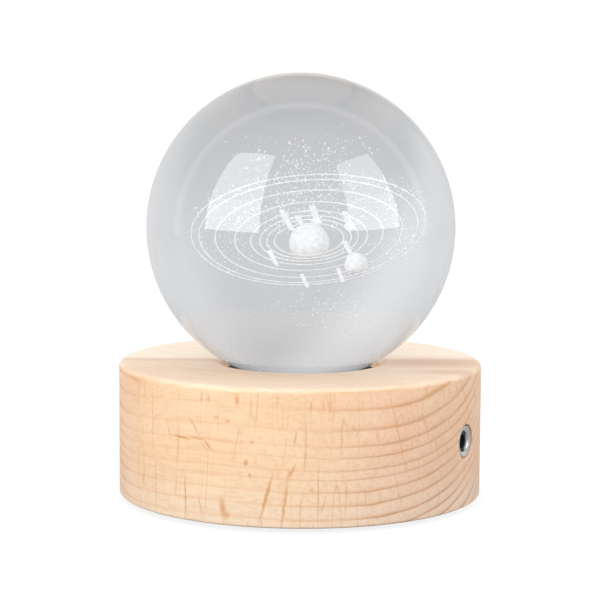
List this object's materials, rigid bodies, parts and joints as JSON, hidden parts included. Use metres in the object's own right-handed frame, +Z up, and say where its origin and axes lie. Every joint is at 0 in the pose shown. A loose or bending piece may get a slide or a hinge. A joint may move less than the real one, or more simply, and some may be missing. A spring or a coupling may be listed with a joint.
{
  "type": "crystal ball lamp",
  "caption": "Solid glass ball with a laser-engraved solar system inside, resting loose in the seat of a turned round wooden base, lit from below by an LED board, with a small DC power jack in the side.",
  "frame": {"origin": "on the table, under the middle of the round base, level with the undersides of the feet", "axes": "+Z up through the ball's centre, +X out of the power jack"},
  "size_m": [0.0944, 0.0944, 0.1101],
  "materials": {
    "clear_glass": "polished solid optical glass, clear with a faint grey cast",
    "laser_marks": "clouds of fine cracks in the glass, white and powdery",
    "beech": "pale beech, turned and sanded, thin clear matt finish",
    "black_rubber": "matt soft black",
    "frosted_acrylic": "frosted white acrylic",
    "white_board": "glass-fibre board with a white solder mask",
    "led_body": "white LED body with a pale yellow phosphor",
    "black_ceramic": "dark chip resistor body",
    "zinc_steel": "zinc-plated steel",
    "nickel": "bright nickel-plated brass",
    "tinned_brass": "tin-plated brass, satin",
    "black_plastic": "fine matt black",
    "red_plastic": "soft red PVC"
  },
  "bodies": {
    "base": {"wood_base": "beech", "seat_ring": "black_rubber", "light_window": "frosted_acrylic", "led_board": "white_board", "led_1": "led_body", "led_2": "led_body", "led_3": "led_body", "led_4": "led_body", "led_5": "led_body", "led_6": "led_body", "resistor_1": "black_ceramic", "resistor_2": "black_ceramic", "board_screw_1": "zinc_steel", "board_screw_2": "zinc_steel", "board_screw_3": "zinc_steel", "jack_bushing": "nickel", "jack_insulator": "black_plastic", "jack_center_pin": "nickel", "jack_sleeve_contact": "tinned_brass", "jack_pin_lug": "tinned_brass", "jack_washer": "nickel", "jack_nut": "nickel", "heat_shrink_red": "red_plastic", "heat_shrink_black": "black_plastic", "wire_red": "red_plastic", "wire_black": "black_plastic", "bottom_cover": "black_plastic", "cover_screw_1": "zinc_steel", "cover_screw_2": "zinc_steel", "cover_screw_3": "zinc_steel", "cover_screw_4": "zinc_steel", "rubber_foot_1": "black_rubber", "rubber_foot_2": "black_rubber", "rubber_foot_3": "black_rubber", "rubber_foot_4": "black_rubber"},
    "ball": {"crystal_ball": "clear_glass", "sun_mark": "laser_marks", "planet_mark": "laser_marks", "orbit_mark_1": "laser_marks", "orbit_mark_2": "laser_marks", "orbit_mark_3": "laser_marks", "orbit_mark_4": "laser_marks", "orbit_mark_5": "laser_marks", "orbit_mark_6": "laser_marks", "orbit_mark_7": "laser_marks", "orbit_mark_8": "laser_marks"}
  },
  "joints": [
    {"name": "ball_lift", "type": "slide", "parent": "base", "child": "ball", "axis": [0, 0, 1], "range_m": [0, 0.04]}
  ]
}
